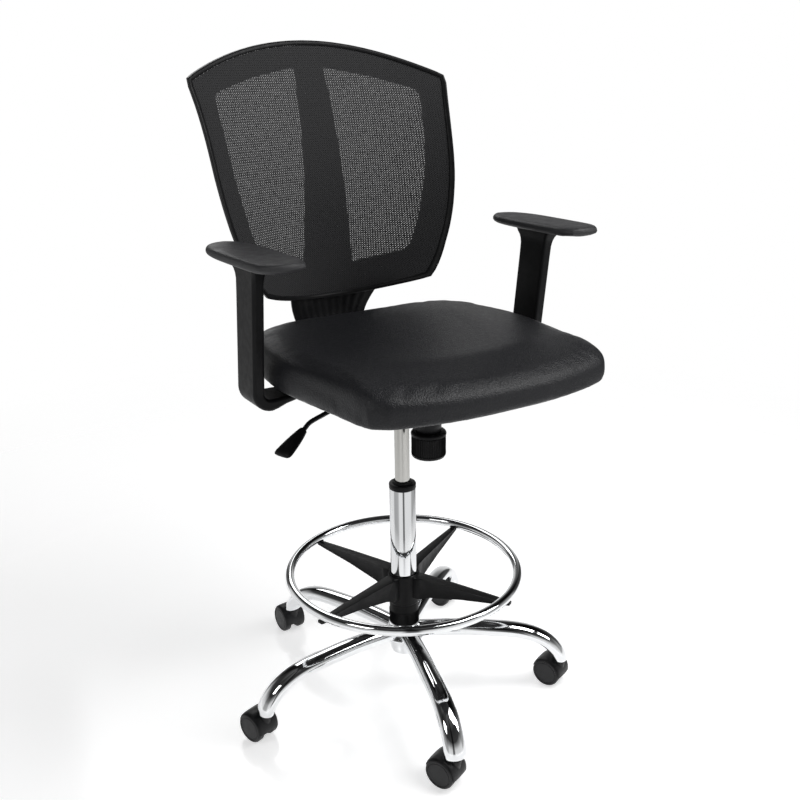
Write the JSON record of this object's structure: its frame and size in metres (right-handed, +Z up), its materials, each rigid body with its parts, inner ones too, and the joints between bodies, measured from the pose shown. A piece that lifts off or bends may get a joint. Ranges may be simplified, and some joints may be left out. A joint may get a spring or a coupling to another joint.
{
  "type": "drafting chair",
  "caption": "Tall swivel chair with a padded seat, mesh back, fixed T arms, gas lift, sliding foot ring and a chromed base on casters.",
  "frame": {"origin": "on the floor, under the middle of the chair's bounding box", "axes": "+Z up; the sitter faces -Y; +X to the left hand of the seated person"},
  "size_m": [0.6834, 0.6788, 1.232],
  "materials": {
    "chrome": "polished chrome plate",
    "lift_tube": "ground steel, satin",
    "zinc_steel": "zinc-plated steel",
    "black_plastic": "fine-textured moulded black",
    "caster_nylon": "satin black nylon",
    "black_paint": "satin black powder coat",
    "arm_pad": "soft-touch dark grey urethane",
    "seat_board": "black moulded board and under-cover",
    "leatherette": "black fine-grained leatherette over foam",
    "mesh_cloth": "open black knitted mesh"
  },
  "bodies": {
    "base": {"base_hub": "chrome", "base_leg_1": "chrome", "base_leg_2": "chrome", "base_leg_3": "chrome", "base_leg_4": "chrome", "base_leg_5": "chrome", "caster_1_stem": "zinc_steel", "caster_2_stem": "zinc_steel", "caster_3_stem": "zinc_steel", "caster_4_stem": "zinc_steel", "caster_5_stem": "zinc_steel", "lift_stand_tube": "chrome", "lift_guide_bush": "black_plastic", "lift_thrust_bearing": "zinc_steel", "lift_retaining_clip": "zinc_steel"},
    "footring_collar": {"footring_lock_collar": "black_plastic", "footring_collet": "black_plastic"},
    "footring": {"footring_ring": "chrome", "footring_spider": "black_plastic"},
    "lift_rod": {"lift_piston_rod": "zinc_steel"},
    "chassis": {"lift_pressure_tube": "lift_tube", "tilt_housing": "black_paint", "tilt_pin": "zinc_steel", "tension_spring": "zinc_steel"},
    "release_pin": {"lift_release_pin": "zinc_steel"},
    "tension_knob": {"tension_knob": "black_plastic", "tension_rod": "zinc_steel"},
    "lever_carrier": {"lever_carrier": "black_plastic"},
    "lever": {"lever_rod": "black_paint", "lever_handle": "black_plastic"},
    "seat": {"seat_plate": "black_paint", "seat_pan": "seat_board", "seat_cushion": "leatherette", "arm_right": "black_plastic", "arm_left": "black_plastic", "arm_pad_right": "arm_pad", "arm_pad_left": "arm_pad", "back_rim": "black_plastic", "back_mesh": "mesh_cloth", "back_frame": "black_plastic", "back_j_bar": "black_paint", "back_socket": "black_plastic", "back_bracket_cover": "black_plastic"},
    "caster_1": {"caster_1_hood": "caster_nylon"},
    "caster_1_wheel_left": {"caster_1_wheel_left": "caster_nylon"},
    "caster_1_wheel_right": {"caster_1_wheel_right": "caster_nylon"},
    "caster_2": {"caster_2_hood": "caster_nylon"},
    "caster_2_wheel_left": {"caster_2_wheel_left": "caster_nylon"},
    "caster_2_wheel_right": {"caster_2_wheel_right": "caster_nylon"},
    "caster_3": {"caster_3_hood": "caster_nylon"},
    "caster_3_wheel_left": {"caster_3_wheel_left": "caster_nylon"},
    "caster_3_wheel_right": {"caster_3_wheel_right": "caster_nylon"},
    "caster_4": {"caster_4_hood": "caster_nylon"},
    "caster_4_wheel_left": {"caster_4_wheel_left": "caster_nylon"},
    "caster_4_wheel_right": {"caster_4_wheel_right": "caster_nylon"},
    "caster_5": {"caster_5_hood": "caster_nylon"},
    "caster_5_wheel_left": {"caster_5_wheel_left": "caster_nylon"},
    "caster_5_wheel_right": {"caster_5_wheel_right": "caster_nylon"}
  },
  "joints": [
    {"name": "footring_height", "type": "slide", "parent": "base", "child": "footring_collar", "axis": [0, 0, 1], "range_m": [0, 0.12]},
    {"name": "footring_turn", "type": "hinge", "parent": "footring_collar", "child": "footring", "pos_m": [0.00717, -0.00637, 0.2585], "axis": [0, 0, 1], "continuous": true},
    {"name": "seat_swivel", "type": "hinge", "parent": "base", "child": "lift_rod", "pos_m": [0.00717, -0.00637, 0.09], "axis": [0, 0, 1], "continuous": true},
    {"name": "seat_height", "type": "slide", "parent": "lift_rod", "child": "chassis", "axis": [0, 0, 1], "range_m": [-0.135, 0.11]},
    {"name": "seat_tilt", "type": "hinge", "parent": "chassis", "child": "seat", "pos_m": [0.00717, -0.05137, 0.645], "axis": [-1, 0, 0], "range_deg": [0, 15], "stiffness_Nm_per_rad": 70, "springref_deg": -22.92},
    {"name": "tension_turn", "type": "hinge", "parent": "chassis", "child": "tension_knob", "pos_m": [0.00717, -0.09637, 0.55], "axis": [0, 0, 1], "continuous": true},
    {"name": "tilt_lock_slide", "type": "slide", "parent": "chassis", "child": "lever_carrier", "axis": [-1, 0, 0], "range_m": [0, 0.012]},
    {"name": "lift_lever", "type": "hinge", "parent": "lever_carrier", "child": "lever", "pos_m": [-0.01883, -0.00637, 0.641], "axis": [0, 1, 0], "range_deg": [0, 3.4], "stiffness_Nm_per_rad": 12, "springref_deg": -8.59},
    {"name": "valve_press", "type": "slide", "parent": "chassis", "child": "release_pin", "axis": [0, 0, -1], "range_m": [0, 0.0018]},
    {"name": "caster_1_swivel", "type": "hinge", "parent": "base", "child": "caster_1", "pos_m": [-0.30362, -0.01776, 0.05], "axis": [0, 0, 1], "continuous": true},
    {"name": "caster_1_roll_left", "type": "hinge", "parent": "caster_1", "child": "caster_1_wheel_left", "pos_m": [-0.3098, 0.00126, 0.028], "axis": [0.9511, 0.309, 0], "continuous": true},
    {"name": "caster_1_roll_right", "type": "hinge", "parent": "caster_1", "child": "caster_1_wheel_right", "pos_m": [-0.3098, 0.00126, 0.028], "axis": [0.9511, 0.309, 0], "continuous": true},
    {"name": "caster_2_swivel", "type": "hinge", "parent": "base", "child": "caster_2", "pos_m": [-0.07803, -0.30547, 0.05], "axis": [0, 0, 1], "continuous": true},
    {"name": "caster_2_roll_left", "type": "hinge", "parent": "caster_2", "child": "caster_2_wheel_left", "pos_m": [-0.08584, -0.28706, 0.028], "axis": [0.9205, 0.3907, 0], "continuous": true},
    {"name": "caster_2_roll_right", "type": "hinge", "parent": "caster_2", "child": "caster_2_wheel_right", "pos_m": [-0.08584, -0.28706, 0.028], "axis": [0.9205, 0.3907, 0], "continuous": true},
    {"name": "caster_3_swivel", "type": "hinge", "parent": "base", "child": "caster_3", "pos_m": [0.26531, -0.17983, 0.05], "axis": [0, 0, 1], "continuous": true},
    {"name": "caster_3_roll_left", "type": "hinge", "parent": "caster_3", "child": "caster_3_wheel_left", "pos_m": [0.25781, -0.16128, 0.028], "axis": [0.9272, 0.3746, 0], "continuous": true},
    {"name": "caster_3_roll_right", "type": "hinge", "parent": "caster_3", "child": "caster_3_wheel_right", "pos_m": [0.25781, -0.16128, 0.028], "axis": [0.9272, 0.3746, 0], "continuous": true},
    {"name": "caster_4_swivel", "type": "hinge", "parent": "base", "child": "caster_4", "pos_m": [0.25191, 0.18553, 0.05], "axis": [0, 0, 1], "continuous": true},
    {"name": "caster_4_roll_left", "type": "hinge", "parent": "caster_4", "child": "caster_4_wheel_left", "pos_m": [0.2454, 0.20444, 0.028], "axis": [0.9455, 0.3256, 0], "continuous": true},
    {"name": "caster_4_roll_right", "type": "hinge", "parent": "caster_4", "child": "caster_4_wheel_right", "pos_m": [0.2454, 0.20444, 0.028], "axis": [0.9455, 0.3256, 0], "continuous": true},
    {"name": "caster_5_swivel", "type": "hinge", "parent": "base", "child": "caster_5", "pos_m": [-0.09971, 0.28569, 0.05], "axis": [0, 0, 1], "continuous": true},
    {"name": "caster_5_roll_left", "type": "hinge", "parent": "caster_5", "child": "caster_5_wheel_left", "pos_m": [-0.1011, 0.30564, 0.028], "axis": [0.9976, 0.0698, 0], "continuous": true},
    {"name": "caster_5_roll_right", "type": "hinge", "parent": "caster_5", "child": "caster_5_wheel_right", "pos_m": [-0.1011, 0.30564, 0.028], "axis": [0.9976, 0.0698, 0], "continuous": true}
  ],
  "couplings": [
    {"joint": "valve_press", "follows": "lift_lever", "m_per_rad": 0.026}
  ]
}
